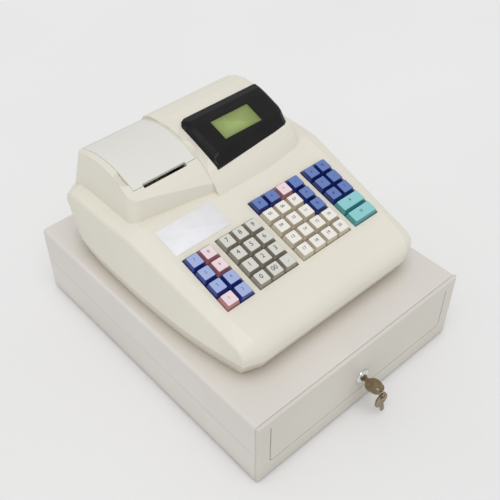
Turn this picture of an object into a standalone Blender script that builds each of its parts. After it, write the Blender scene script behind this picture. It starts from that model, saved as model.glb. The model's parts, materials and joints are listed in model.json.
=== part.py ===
"""Electronic cash register on a steel cash drawer.

Metres, +Z up. The cashier stands at -Y, and +X is at the cashier's right.
The origin is on the table, under the middle of the whole object's box.
"""
import bmesh
import bpy
from math import asin, atan2, cos, pi, radians, sin, sqrt, tan
from mathutils import Matrix, Vector

# Fits shared by all pieces
GAP = 0.0003
OVERRUN = 0.002
MERGE = 0.000002

# Steel drawer housing
DRAWER_WIDTH = 0.330
DRAWER_DEPTH = 0.411
DRAWER_HEIGHT = 0.1007
STEEL = 0.0015
COVER_RADIUS = 0.0045
SEAM_RISE = 0.047
FOOT_HEIGHT = 0.004
FOOT_RADIUS = 0.009
FOOT_INSET = 0.030
RAIL_WIDTH = 0.009
RAIL_HEIGHT = 0.012

# Moving drawer: steel tray, plastic front and cash insert
FRONT_THICKNESS = 0.004
FRONT_RADIUS = 0.0022
GROOVE_WIDTH = 0.0011
GROOVE_DEPTH = 0.0009
GROOVE_RADIUS = 0.005
GROOVE_SIDE_INSET = 0.018
GROOVE_BOTTOM_RISE = 0.0235
GROOVE_TOP_DROP = 0.013
TRAY_SIDE_PLAY = 0.002
TRAY_TOP_PLAY = 0.007
TRAY_BACK_PLAY = 0.010
TRAY_LIP = 0.006
INSERT_PLAY = 0.002
INSERT_FRONT_PLAY = 0.014
INSERT_HEIGHT = 0.052
INSERT_WALL = 0.0025
INSERT_FLOOR = 0.0025
COIN_ROW_DEPTH = 0.105
COIN_CUPS = 5
NOTE_BAYS = 4
CUP_SCOOP_RADIUS = 0.040

# Cam lock, its key and the spare key on a wire ring
LOCK_RISE = 0.047
LOCK_FLANGE_RADIUS = 0.010
LOCK_DOME = 0.0042
LOCK_SHANK_RADIUS = 0.0075
LOCK_SHANK = 0.013
PLUG_RADIUS = 0.0046
PLUG_PROUD = 0.0006
KEY_THICKNESS = 0.002
KEY_BLADE_WIDTH = 0.006
KEY_NECK = 0.004
BOW_WIDTH = 0.021
BOW_LENGTH = 0.0225
BOW_HOLE_RADIUS = 0.0023
BOW_HOLE_INSET = 0.0052
RING_RADIUS = 0.0055
RING_WIRE = 0.0006
RING_CREST = 0.0026
SPARE_BLADE = 0.0165
SPARE_LEAN = radians(14.0)

# Register case
CASE_HALF_WIDTH = 0.1535
CASE_BACK = 0.172
CASE_FRONT = -0.1605
CASE_SEAM_RISE = 0.0263
CASE_LEVEL_RISE = 0.1023
CASE_WALL = 0.0025
DECK_TILT = radians(14.67)
DECK_HEIGHT = 0.2001
BACK_RADIUS = 0.044
KNEE_RADIUS = 0.080
NOSE_RADIUS = 0.024
NOSE_TUCK = 0.001
SHOULDER_DROP = 0.009
FOOTPRINT_SIDE_TUCK = 0.0075
FOOTPRINT_FRONT_TUCK = 0.0125
FOOTPRINT_BACK_TUCK = 0.009

# Shares of the case's half width at places along its side profile, back to front
CREASE_SHARES = ((0, 0.80), (0.12, 0.832), (0.62, 0.832), (0.80, 0.815), (0.90, 0.785), (1, 0.735))
SHOULDER_SHARES = ((0, 0.89), (0.14, 0.955), (0.25, 0.975), (0.48, 0.965), (0.70, 0.925), (0.85, 0.898), (1, 0.887))
SEAM_SHARES = ((0, 0.89), (0.05, 0.945), (0.13, 0.984), (0.32, 1), (0.52, 1), (0.75, 0.973), (0.9, 0.927), (1, 0.887))
EDGE_SOFT_SHARE = 0.07
WALL_SOFT_SHARE = 0.04

# Printer head on the left
HEAD_FLOOR = 0.185
ARC_CENTRE_Y = 0.104
ARC_CENTRE_Z = 0.142
ARC_RADIUS = 0.110
HEAD_LEFT = -0.133
HEAD_LEFT_DRAFT = 0.15
HEAD_FRONT = 0.0367
HEAD_FRONT_SKEW = -0.149
HEAD_FRONT_LEAN = 0.21
HEAD_BACK = 0.158
HEAD_BACK_LEAN = 0.17
HEAD_CORNER_RADIUS = 0.012
HEAD_BASE_Z = 0.207
HEAD_TOP_Z = 0.265
HEAD_RIGHT = -0.0245

# Printer lid, paper bay and finger scoops
LID_LEFT = -0.1175
LID_RIGHT = -0.029
LID_FRONT = 0.051
LID_HINGE_Y = 0.1495
LID_THICKNESS = 0.0030
LID_BARREL_RADIUS = 0.0019
LID_PIN_RADIUS = 0.0009
LID_PIN_LENGTH = 0.0018
LID_LEDGE = 0.0025
SLOT_LEFT = -0.104
SLOT_RIGHT = -0.0435
SLOT_DEPTH = 0.005
BAY_FLOOR = 0.168
BAY_FRONT = 0.0555
BAY_BACK = 0.146
BAY_RADIUS = 0.034
SCOOP_Y = 0.0685
SCOOP_RADIUS = 0.012
SCOOP_DEPTH = 0.0042

# Display head on the right
DISPLAY_LEFT = -0.0265
DISPLAY_SPAN = 0.148
DISPLAY_FOOT = 0.0125
DISPLAY_DEPTH = 0.1595
DISPLAY_RISE = 0.0685
DISPLAY_FOOT_SWEEP = 0.022
DISPLAY_STEP = 0.0012
DISPLAY_WALL = 0.008
# Shares of depth back from the foot and of rise over the head's floor, from the back down to the foot
DISPLAY_BACK_SHARES = ((1, 0), (0.985, 0.30), (0.935, 0.68), (0.885, 0.855), (0.80, 0.95))
DISPLAY_TOP_SHARES = ((0.69, 0.995), (0.567, 0.985), (0.455, 0.905), (0.329, 0.803), (0.2226, 0.712), (0.125, 0.618))
DISPLAY_FOOT_SHARES = ((0.055, 0.44), (0, 0.263), (-0.016, 0))
# Shares of span, of foot sweep and of rise at cross sections from left to right
DISPLAY_SECTION_SHARES = (
    (0, 0, 1), (0.09, 0, 1), (0.585, 0.03, 1), (0.755, 0.14, 1), (0.876, 0.24, 1),
    (0.926, 0.34, 0.995), (0.955, 0.44, 0.965), (0.98, 0.58, 0.74), (1, 0.85, 0.30))

# Black visor with the window over the liquid crystal panel
VISOR_LEFT = -0.0125
VISOR_SPAN = 0.1240
VISOR_TILT = radians(18.7)
VISOR_PLANE_Y = 0.066
VISOR_PLANE_Z = 0.2470
VISOR_BACK = 0.1035
VISOR_FOOT = 0.0305
VISOR_SINK = 0.0035
VISOR_CREST = 0.044
VISOR_BACK_FLAT = 0.083
VISOR_CREST_RADIUS = 0.007
VISOR_FOOT_Z = 0.2275
VISOR_BACK_CORNER = 0.0080
VISOR_FOOT_SWEEP = 0.0185
# Shares of span, of back corner, of foot sweep and of the height over the sunk base
VISOR_SECTION_SHARES = (
    (0, 1, 0, 0), (0.028, 0.35, 0, 0.42), (0.077, 0, 0.02, 1), (0.44, 0, 0.16, 1),
    (0.775, 0, 0.36, 1), (0.94, 0, 0.52, 1), (0.98, 0, 0.68, 0.93), (1, 0.18, 1, 0.68))
WINDOW_WIDTH = 0.0590
WINDOW_HEIGHT = 0.0300
WINDOW_CENTRE_X = 0.0478
WINDOW_DEPTH = 0.0012

# Keyboard
PITCH = 0.0195
WELL_GAP = 0.00775
WELL_MARGIN = 0.0004
WELL_FRONT = -0.1111
WELL_DEPTH = 0.0082
KEYBED = 0.0025
KEYBED_BORDER = 0.003
KEY_SPACE = 0.0009
KEY_CORNER = 0.0012
KEY_TOP = 0.0142
KEY_RIM = 0.0008
KEY_PROUD = 0.0055
KEY_SKIRT = 0.0008
KEY_SINK = 0.0042
KEY_BEVEL = 0.0005
STEM_SIDE = 0.005
STEM_REACH = 0.0065

# Blocks of the keyboard, left to right: name, columns and rows
BLOCKS = (("dept", 2, 4), ("digit", 3, 4), ("plu", 4, 5), ("func", 2, 5))
WIDE_ROWS = 2
PINK_KEYS = ("key_dept_0_0", "key_dept_1_2", "key_dept_1_3", "key_plu_2_4")
BLUE_PLU_KEYS = ("key_plu_0_4", "key_plu_1_4", "key_plu_3_4", "key_plu_3_3", "key_plu_3_2")

# Places worked out from the sizes above
DRAWER_TOP = FOOT_HEIGHT + DRAWER_HEIGHT
DRAWER_SEAM = FOOT_HEIGHT + SEAM_RISE
FRONT_FACE = -DRAWER_DEPTH / 2
HOUSING_FRONT = FRONT_FACE + FRONT_THICKNESS + GAP
HOUSING_BACK = DRAWER_DEPTH / 2
CASE_FLOOR = DRAWER_TOP + GAP
CASE_SEAM = DRAWER_TOP + CASE_SEAM_RISE
CASE_LEVEL = DRAWER_TOP + CASE_LEVEL_RISE
TRAY_FLOOR = FOOT_HEIGHT + STEEL + RAIL_HEIGHT + GAP
TRAY_TOP = DRAWER_TOP - STEEL - TRAY_TOP_PLAY
TRAY_HALF = DRAWER_WIDTH / 2 - STEEL - TRAY_SIDE_PLAY
TRAY_FRONT = HOUSING_FRONT
TRAY_BACK = HOUSING_BACK - STEEL - TRAY_BACK_PLAY
LOCK_Z = FOOT_HEIGHT + LOCK_RISE
BOW_START = FRONT_FACE - LOCK_DOME - KEY_NECK
BOW_END = BOW_START - BOW_LENGTH
BOW_HOLE_Y = BOW_END + BOW_HOLE_INSET
RING_Z = LOCK_Z - RING_RADIUS + RING_CREST
RING_Y = BOW_HOLE_Y - sqrt(RING_RADIUS ** 2 - (LOCK_Z - RING_Z) ** 2)
KEY_REACH = FRONT_FACE - RING_Y + RING_RADIUS + RING_WIRE
BODY_Y = KEY_REACH / 2
HINGE_ANGLE = asin((LID_HINGE_Y - ARC_CENTRE_Y) / (ARC_RADIUS - LID_BARREL_RADIUS))
HINGE_Z = ARC_CENTRE_Z + (ARC_RADIUS - LID_BARREL_RADIUS) * cos(HINGE_ANGLE)

UP = Vector((0, 0, 1))
DECK = Matrix.Translation((0, 0, DECK_HEIGHT)) @ Matrix.Rotation(DECK_TILT, 4, "X")
PRESS = DECK.to_3x3() @ -UP


def clear_scene():
    for old in list(bpy.data.objects):
        bpy.data.objects.remove(old, do_unlink=True)


def material(name, colour, roughness, metallic=0.0):
    made = bpy.data.materials.get(name) or bpy.data.materials.new(name)
    made.use_nodes = True
    shader = made.node_tree.nodes["Principled BSDF"]
    shader.inputs["Base Color"].default_value = (*colour, 1)
    shader.inputs["Roughness"].default_value = roughness
    shader.inputs["Metallic"].default_value = metallic
    made.diffuse_color = (*colour, 1)
    return made


def solid(name, points, faces):
    """A closed mesh object from points and faces, with its faces pointing out."""
    form = bmesh.new()
    made = [form.verts.new(point) for point in points]
    for face in faces:
        form.faces.new([made[index] for index in face])
    return finish_form(name, form)


def finish_form(name, form):
    bmesh.ops.remove_doubles(form, verts=form.verts, dist=MERGE)
    bmesh.ops.dissolve_degenerate(form, edges=form.edges, dist=MERGE)
    bmesh.ops.recalc_face_normals(form, faces=form.faces)
    mesh = bpy.data.meshes.new(name)
    form.to_mesh(mesh)
    form.free()
    made = bpy.data.objects.new(name, mesh)
    bpy.context.scene.collection.objects.link(made)
    return made


def loft(name, rings):
    """Rings with the same number of points, joined in turn and capped at both ends."""
    count = len(rings[0])
    points = [point for ring in rings for point in ring]
    faces = [tuple(reversed(range(count)))]
    for ring in range(len(rings) - 1):
        for side in range(count):
            after = (side + 1) % count
            low = ring * count
            high = low + count
            faces.append((low + side, low + after, high + after, high + side))
    faces.append(tuple(range(len(points) - count, len(points))))
    return solid(name, points, faces)


def prism(name, outline, start, end, axis):
    """An outline carried in a straight line along X, Y or Z."""
    place = {
        "X": lambda a, b, run: (run, a, b),
        "Y": lambda a, b, run: (a, run, b),
        "Z": lambda a, b, run: (a, b, run),
    }[axis]
    return loft(name, [[place(a, b, run) for a, b in outline] for run in (start, end)])


def box(name, low, high):
    outline = [(low[0], low[1]), (high[0], low[1]), (high[0], high[1]), (low[0], high[1])]
    return prism(name, outline, low[2], high[2], "Z")


def arc(centre, radius, first, last, steps):
    """Points on an arc, with both ends, by angles in radians."""
    turn = (last - first) / steps
    return [(centre[0] + radius * cos(first + turn * step), centre[1] + radius * sin(first + turn * step))
            for step in range(steps + 1)]


def rounded(corners, steps):
    """An outline from corners (a, b, radius), each rounded by an arc of its own radius."""
    made = []
    for index, (a, b, radius) in enumerate(corners):
        here = Vector((a, b))
        before = Vector(corners[index - 1][:2]) - here
        after = Vector(corners[(index + 1) % len(corners)][:2]) - here
        made += corner(here, before, after, radius, steps) if radius else [tuple(here)]
    return made


def corner(here, before, after, radius, steps):
    half = before.angle(after) / 2
    reach = radius / tan(half)
    middle = here + (before.normalized() + after.normalized()).normalized() * (radius / sin(half))
    start = here + before.normalized() * reach - middle
    end = here + after.normalized() * reach - middle
    first = atan2(start.y, start.x)
    turn = (atan2(end.y, end.x) - first + pi) % (2 * pi) - pi
    return arc(middle, radius, first, first + turn, steps)


def turned(name, profile, centre, sides):
    """A solid of revolution about a line along Y: profile points are (radius, y)."""
    rings = []
    for radius, run in profile:
        rings.append([(centre[0] + radius * cos(2 * pi * side / sides), run,
                       centre[1] + radius * sin(2 * pi * side / sides)) for side in range(sides)])
    return loft(name, rings)


def pin(name, centre, radius, start, end, axis, sides):
    return prism(name, arc(centre, radius, 0, 2 * pi * (sides - 1) / sides, sides - 1), start, end, axis)


def combine(target, others, operation):
    """Join, cut or intersect the target with other solids, which are used up."""
    for other in others:
        step = target.modifiers.new(operation, "BOOLEAN")
        step.operation = operation
        step.solver = "EXACT"
        step.object = other
        bpy.context.view_layer.update()
        graph = bpy.context.evaluated_depsgraph_get()
        made = bpy.data.meshes.new_from_object(target.evaluated_get(graph))
        target.modifiers.clear()
        target.data = made
        bpy.data.objects.remove(other, do_unlink=True)
    return tidy(target)


def tidy(target):
    """Merge what a cut leaves doubled and flatten faces that lie in one plane."""
    form = bmesh.new()
    form.from_mesh(target.data)
    bmesh.ops.remove_doubles(form, verts=form.verts, dist=MERGE)
    bmesh.ops.dissolve_degenerate(form, edges=form.edges, dist=MERGE)
    bmesh.ops.dissolve_limit(form, angle_limit=radians(0.05), verts=form.verts, edges=form.edges)
    bmesh.ops.triangulate(form, faces=form.faces)
    form.to_mesh(target.data)
    form.free()
    return target


def finish(made, name, look, parent, origin=(0, 0, 0), sharp=radians(32)):
    """Name a solid, give it its material and parent, and put its origin in place."""
    made.name = name
    made.data.name = name
    made.data.materials.clear()
    made.data.materials.append(look)
    made.data.transform(Matrix.Translation(-Vector(origin)))
    made.location = origin
    made.parent = parent
    made.data.shade_smooth()
    made.data.set_sharp_from_angle(angle=sharp)
    return made


def share_at(shares, place):
    """A value from a table of (place, value), read along a smooth curve through it."""
    for index in range(len(shares) - 1):
        low, high = shares[index], shares[index + 1]
        if place <= high[0] or index == len(shares) - 2:
            before = shares[index - 1] if index else low
            after = shares[index + 2] if index + 2 < len(shares) else high
            width = high[0] - low[0]
            rise_low = (high[1] - before[1]) / (high[0] - before[0]) * width
            rise_high = (after[1] - low[1]) / (after[0] - low[0]) * width
            t = (place - low[0]) / width
            return (low[1] * (2 * t ** 3 - 3 * t ** 2 + 1) + rise_low * (t ** 3 - 2 * t ** 2 + t)
                    + high[1] * (3 * t ** 2 - 2 * t ** 3) + rise_high * (t ** 3 - t ** 2))


def deck_z(y):
    return DECK_HEIGHT + y * tan(DECK_TILT)


def arc_z(y):
    return ARC_CENTRE_Z + sqrt(ARC_RADIUS ** 2 - (y - ARC_CENTRE_Y) ** 2)


def side_profile(inset, floor):
    """The case's middle line from the back seam over the deck to the front seam, with inward normals."""
    knee_y = (CASE_LEVEL - DECK_HEIGHT) / tan(DECK_TILT)
    back = CASE_BACK - inset
    front = CASE_FRONT + inset
    level = CASE_LEVEL - inset
    nose = Vector((front, deck_z(front) - inset / cos(DECK_TILT)))
    knee = Vector((knee_y, level))
    top = Vector((back, level))
    path = [(back, floor)]
    path += corner(top, Vector((back, floor)) - top, knee - top, BACK_RADIUS - inset, 5)
    path += spread(path[-1], tuple(knee), (0.25, 0.5, 0.75))
    path += corner(knee, top - knee, nose - knee, KNEE_RADIUS, 2)
    foot = Vector((front + NOSE_TUCK, floor))
    bend = corner(nose, knee - nose, foot - nose, NOSE_RADIUS - inset, 7)
    path += spread(path[-1], bend[0], (0.17, 0.34, 0.5, 0.67, 0.84))
    return path + bend + [tuple(foot)]


def spread(first, last, shares):
    return [(first[0] + (last[0] - first[0]) * share, first[1] + (last[1] - first[1]) * share) for share in shares]


def path_shares(path):
    """How far along the path each point lies, from 0 to 1."""
    runs = [0.0]
    for before, here in zip(path, path[1:]):
        runs.append(runs[-1] + sqrt((here[0] - before[0]) ** 2 + (here[1] - before[1]) ** 2))
    return [run / runs[-1] for run in runs]


def inward(path, index):
    """Unit vector across the path, into the case."""
    before = Vector(path[max(index - 1, 0)])
    after = Vector(path[min(index + 1, len(path) - 1)])
    along = (after - before).normalized()
    if index in (0, len(path) - 1):
        along.x = 0
        along.normalize()
    return Vector((-along.y, along.x))


def case_rows(inset, floor):
    """Rows of points across the case, from its back seam to its front seam."""
    path = side_profile(inset, floor)
    places = path_shares(path)
    half = CASE_HALF_WIDTH - inset
    set_in = [inward(path, index) * SHOULDER_DROP for index in range(len(path))]
    back_corner = path[0][0] + set_in[0].x
    front_corner = path[-1][0] + set_in[-1].x
    rows = []
    for (y, z), place, drop in zip(path, places, set_in):
        crease = Vector((half * share_at(CREASE_SHARES, place), y, z))
        edge = Vector((half * share_at(SHOULDER_SHARES, place), y + drop.x, z + drop.y))
        seam = Vector((half * share_at(SEAM_SHARES, place),
                       back_corner + (front_corner - back_corner) * place, floor))
        if place in (0, 1):
            edge = seam.copy()
        right = [crease, edge.lerp(crease, EDGE_SOFT_SHARE), edge.lerp(seam, WALL_SOFT_SHARE), seam]
        left = [Vector((-point.x, point.y, point.z)) for point in reversed(right)]
        rows.append(left + right)
    return rows


def case_form(name, inset, floor):
    """The case's body under its heads, closed flat at the floor height."""
    rows = case_rows(inset, floor)
    count = len(rows[0])
    points = [point for row in rows for point in row]
    faces = []
    for row in range(len(rows) - 1):
        for side in range(count - 1):
            low = row * count + side
            faces.append((low, low + 1, low + count + 1, low + count))
    form = bmesh.new()
    made = [form.verts.new(point) for point in points]
    for face in faces:
        form.faces.new([made[index] for index in face])
    bmesh.ops.remove_doubles(form, verts=form.verts, dist=MERGE)
    bmesh.ops.dissolve_degenerate(form, edges=form.edges, dist=MERGE)
    rim = [edge for edge in form.edges if edge.is_boundary]
    bmesh.ops.contextual_create(form, geom=rim)
    return finish_form(name, form)


def seam_outline(inset):
    """The case's outline at its seam, once round, as (x, y)."""
    rows = case_rows(inset, CASE_SEAM)
    right = [(row[-1].x, row[-1].y) for row in rows]
    left = [(row[0].x, row[0].y) for row in reversed(rows)]
    back = [(point.x, point.y) for point in rows[0][1:-1]]
    front = [(point.x, point.y) for point in reversed(rows[-1][1:-1])]
    loop = right + front + left + back
    return [point for index, point in enumerate(loop) if (Vector(point) - Vector(loop[index - 1])).length > MERGE]


def tucked(outline, inset):
    """The seam's outline drawn in to the footprint on the drawer's top."""
    middle = (CASE_BACK + CASE_FRONT) / 2
    made = []
    for x, y in outline:
        tuck = FOOTPRINT_BACK_TUCK if y > middle else FOOTPRINT_FRONT_TUCK
        end = CASE_BACK if y > middle else CASE_FRONT
        share = (y - middle) / (end - middle)
        made.append((x * (1 - FOOTPRINT_SIDE_TUCK / CASE_HALF_WIDTH), y + (middle - end) / abs(middle - end) * tuck * share))
    return made


def lower_case(look, parent):
    """Lower shell, from the drawer's top to the seam, narrowing downwards."""
    top = CASE_SEAM - GAP / 2
    rings = []
    for inset, low in ((0, CASE_FLOOR), (CASE_WALL, CASE_FLOOR + CASE_WALL)):
        outline = seam_outline(inset)
        high = top + (OVERRUN if inset else 0)
        rings.append([[(x, y, low) for x, y in tucked(outline, inset)], [(x, y, high) for x, y in outline]])
    shell = loft("lower_case", rings[0])
    combine(shell, [loft("hollow", rings[1])], "DIFFERENCE")
    return finish(shell, "lower_case", look, parent)


def plan_ring(height, inset):
    """The printer head's outline at a height, with its leaning walls."""
    lift = height - HEAD_BASE_Z
    left = HEAD_LEFT + HEAD_LEFT_DRAFT * lift + inset
    front_left = HEAD_FRONT + HEAD_FRONT_LEAN * lift + inset
    front_right = front_left + HEAD_FRONT_SKEW * (HEAD_RIGHT - left)
    back = HEAD_BACK - HEAD_BACK_LEAN * lift - inset
    radius = HEAD_CORNER_RADIUS - inset
    outline = rounded([(left, front_left, radius), (HEAD_RIGHT, front_right, 0), (HEAD_RIGHT, back, 0),
                       (left, back, radius)], 4)
    return [(x, y, height) for x, y in outline]


def printer_head():
    """Block under the lid: walls by its plan, top by one arc."""
    block = loft("printer_head", [plan_ring(HEAD_FLOOR, 0), plan_ring(HEAD_TOP_Z, 0)])
    reach = ARC_RADIUS * cos(radians(32))
    outline = arc((ARC_CENTRE_Y, ARC_CENTRE_Z), ARC_RADIUS, radians(32), radians(148), 18)
    outline += [(ARC_CENTRE_Y - reach, HEAD_FLOOR - OVERRUN), (ARC_CENTRE_Y + reach, HEAD_FLOOR - OVERRUN)]
    crown = prism("crown", outline, HEAD_LEFT - HEAD_CORNER_RADIUS, HEAD_RIGHT + OVERRUN, "X")
    return combine(block, [crown], "INTERSECT")


def display_ring(span_share, sweep_share, rise_share, inset):
    """The display head's side outline at one cross section."""
    blend = max(0, 1 - span_share / DISPLAY_SECTION_SHARES[1][0])
    x = DISPLAY_LEFT + DISPLAY_SPAN * span_share
    sweep = DISPLAY_FOOT_SWEEP * sweep_share
    depth = DISPLAY_DEPTH - sweep
    foot = DISPLAY_FOOT + sweep
    made = []
    for back, rise in DISPLAY_BACK_SHARES + DISPLAY_TOP_SHARES + DISPLAY_FOOT_SHARES:
        y = foot + depth * back
        z = HEAD_FLOOR + DISPLAY_RISE * rise
        if (back, rise) in DISPLAY_TOP_SHARES:
            z += (arc_z(y) + DISPLAY_STEP - z) * blend
        made.append((x, y, HEAD_FLOOR + (z - HEAD_FLOOR) * rise_share))
    return inset_ring(made, inset)


def inset_ring(ring, inset):
    """A ring in the YZ plane drawn in by one distance on all its sides but the lowest."""
    if not inset:
        return ring
    made = []
    for index, (x, y, z) in enumerate(ring):
        before = Vector(ring[max(index - 1, 0)][1:])
        after = Vector(ring[min(index + 1, len(ring) - 1)][1:])
        along = (after - before).normalized()
        made.append((x, y - along.y * inset, z + along.x * inset))
    return made


def display_head(inset):
    rings = []
    for span, sweep, rise in DISPLAY_SECTION_SHARES:
        if inset and (rise < 1 or span == 0):
            continue
        rings.append(display_ring(span, sweep, rise, inset))
    return loft("display_head", rings)


def visor_height(y):
    """Height of the visor's top over the table along its slope and its flatter back."""
    slope = tan(VISOR_TILT)
    if y <= VISOR_BACK_FLAT:
        return VISOR_PLANE_Z + (y - VISOR_PLANE_Y) * slope
    edge = VISOR_PLANE_Z + (VISOR_BACK_FLAT - VISOR_PLANE_Y) * slope
    run = y - VISOR_BACK_FLAT
    return edge + run * slope - run ** 2 * slope / (2 * (VISOR_BACK - VISOR_BACK_FLAT)) * 1.5


def visor_ring(shares, grow):
    """The visor's side outline at one cross section; grow widens it to the pocket that it sits in."""
    span, back_share, sweep_share, height_share = shares
    x = VISOR_LEFT + VISOR_SPAN * span
    foot = VISOR_FOOT + VISOR_FOOT_SWEEP * sweep_share - grow
    back = VISOR_BACK - VISOR_BACK_CORNER * back_share + grow
    crest = VISOR_CREST + (foot - VISOR_FOOT)
    top = [(foot, VISOR_FOOT_Z)]
    bend = corner(Vector((crest - VISOR_CREST_RADIUS / 2, visor_height(crest - VISOR_CREST_RADIUS / 2))),
                  Vector((foot, VISOR_FOOT_Z)) - Vector((crest, visor_height(crest))),
                  Vector((1, tan(VISOR_TILT))), VISOR_CREST_RADIUS, 4)
    top += bend
    top += [(y, visor_height(y)) for y in (VISOR_PLANE_Y, VISOR_BACK_FLAT)]
    top += [(y, visor_height(y)) for y in ((VISOR_BACK_FLAT + back) / 2, back)]
    ring = []
    for y, z in top:
        low = visor_base(y)
        ring.append((x, y, low + (z - low) * height_share))
    ring.append((x, back, visor_base(back) - VISOR_SINK - grow))
    ring.append((x, foot, visor_base(foot) - VISOR_SINK - grow))
    return ring


def visor_base(y):
    """Straight line from the visor's front foot to its back edge, on the display head."""
    rise = (visor_height(VISOR_BACK) - VISOR_FOOT_Z) / (VISOR_BACK - VISOR_FOOT)
    return VISOR_FOOT_Z + (y - VISOR_FOOT) * rise


def visor_form(grow):
    rings = [visor_ring(shares, grow) for shares in VISOR_SECTION_SHARES]
    if grow:
        rings[0] = [(x - grow, y, z) for x, y, z in rings[0]]
        rings[-1] = [(x + grow, y, z) for x, y, z in rings[-1]]
        rings = [[(x, y, z + (VISOR_SINK if index < len(ring) - 2 else 0)) for index, (x, y, z) in enumerate(ring)]
                 for ring in rings]
    return loft("visor", rings)


def display_visor(look, parent):
    """Dark glossy block over the display, with a shallow window for the panel."""
    made = visor_form(0)
    window = box("window", (-WINDOW_WIDTH / 2, -WINDOW_HEIGHT / 2, -WINDOW_DEPTH),
                 (WINDOW_WIDTH / 2, WINDOW_HEIGHT / 2, OVERRUN))
    tilt = Matrix.Rotation(VISOR_TILT, 4, "X")
    window.data.transform(Matrix.Translation((WINDOW_CENTRE_X, VISOR_PLANE_Y, VISOR_PLANE_Z)) @ tilt)
    combine(made, [window], "DIFFERENCE")
    return finish(made, "display_visor", look, parent, sharp=radians(40))


def lid_outline(grow):
    """The lid's side outline: an arched plate that ends in a barrel round its hinge."""
    middle = (ARC_CENTRE_Y, ARC_CENTRE_Z)
    outer = ARC_RADIUS + (OVERRUN * 4 if grow else 0)
    inner = ARC_RADIUS - LID_THICKNESS - grow
    front = pi / 2 + asin((ARC_CENTRE_Y - LID_FRONT + grow) / ARC_RADIUS)
    hinge = pi / 2 - HINGE_ANGLE
    barrel = LID_BARREL_RADIUS + grow
    round_end = arc((LID_HINGE_Y, HINGE_Z), barrel, hinge, hinge - pi, 6)
    if grow:
        reach = HINGE_ANGLE + asin(barrel / ARC_RADIUS)
        round_end = [(ARC_CENTRE_Y + outer * sin(reach), ARC_CENTRE_Z + outer * cos(reach))] + round_end[3:]
        top = arc(middle, outer, front, hinge, 10)
        return top[:-1] + round_end + arc(middle, inner, hinge + barrel / ARC_RADIUS, front, 10)
    top = arc(middle, outer, front, hinge, 10)
    return top[:-1] + round_end + arc(middle, inner, hinge + barrel / ARC_RADIUS, front, 10)


def printer_lid(look, parent):
    """Arched lid over the paper bay, notched for the paper and hinged at its back."""
    made = prism("lid", lid_outline(0), LID_LEFT, LID_RIGHT, "X")
    notch = box("notch", (SLOT_LEFT, LID_FRONT - OVERRUN, HEAD_BASE_Z),
                (SLOT_RIGHT, LID_FRONT + SLOT_DEPTH / 2, HEAD_TOP_Z))
    combine(made, [notch], "DIFFERENCE")
    pins = [pin("pin", (LID_HINGE_Y, HINGE_Z), LID_PIN_RADIUS, LID_LEFT - LID_PIN_LENGTH, LID_LEFT + OVERRUN, "X", 8),
            pin("pin", (LID_HINGE_Y, HINGE_Z), LID_PIN_RADIUS, LID_RIGHT - OVERRUN, LID_RIGHT + LID_PIN_LENGTH, "X", 8)]
    combine(made, pins, "UNION")
    return finish(made, "printer_lid", look, parent, origin=((LID_LEFT + LID_RIGHT) / 2, LID_HINGE_Y, HINGE_Z))


def bay_outline(grow):
    """Side outline of the paper bay, a bucket with a round bottom."""
    low = BAY_FLOOR - grow
    return rounded([(BAY_FRONT - grow, HEAD_TOP_Z, 0), (BAY_FRONT - grow, low, BAY_RADIUS + grow),
                    (BAY_BACK + grow, low, BAY_RADIUS + grow), (BAY_BACK + grow, HEAD_TOP_Z, 0)], 5)


def bay_cuts():
    """All that is cut for the lid: its seat, the bay, the paper slot, the pin holes and the scoops."""
    cuts = [prism("seat", lid_outline(GAP), LID_LEFT - GAP, LID_RIGHT + GAP, "X"),
            prism("bay", bay_outline(0), LID_LEFT + LID_LEDGE, LID_RIGHT - LID_LEDGE, "X"),
            box("slot", (SLOT_LEFT, LID_FRONT - SLOT_DEPTH / 2, HEAD_BASE_Z),
                (SLOT_RIGHT, BAY_FRONT + OVERRUN, HEAD_TOP_Z)),
            pin("pin_holes", (LID_HINGE_Y, HINGE_Z), LID_PIN_RADIUS + GAP, LID_LEFT - LID_PIN_LENGTH - GAP,
                LID_RIGHT + LID_PIN_LENGTH + GAP, "X", 8)]
    ball = (SCOOP_RADIUS ** 2 + SCOOP_DEPTH ** 2) / (2 * SCOOP_DEPTH)
    lean = asin((ARC_CENTRE_Y - SCOOP_Y) / ARC_RADIUS)
    reach = ARC_RADIUS - SCOOP_DEPTH + ball
    for x in (LID_LEFT, LID_RIGHT):
        form = bmesh.new()
        bmesh.ops.create_icosphere(form, subdivisions=3, radius=ball)
        bmesh.ops.translate(form, verts=form.verts,
                            vec=(x, ARC_CENTRE_Y - reach * sin(lean), ARC_CENTRE_Z + reach * cos(lean)))
        cuts.append(finish_form("scoop", form))
    return cuts


def block_places():
    """Each keyboard block: name, columns, rows and the place of its left edge across the deck."""
    width = sum(columns for _, columns, _ in BLOCKS) * PITCH + (len(BLOCKS) - 1) * WELL_GAP
    left = -width / 2
    made = []
    for name, columns, rows in BLOCKS:
        made.append((name, columns, rows, left))
        left += columns * PITCH + WELL_GAP
    return made


def key_places():
    """Each key: name, its middle across and up the deck, and its width in pitches."""
    made = []
    for name, columns, rows, left in block_places():
        for row in range(rows):
            up = WELL_FRONT + (row + 0.5) * PITCH
            if name == "func" and row < WIDE_ROWS:
                made.append((f"key_{name}_wide_{row}", left + columns * PITCH / 2, up, columns))
                continue
            for column in range(columns):
                made.append((f"key_{name}_{column}_{row}", left + (column + 0.5) * PITCH, up, 1))
    return made


def deck_box(name, low, high):
    made = box(name, low, high)
    made.data.transform(DECK)
    return made


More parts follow.
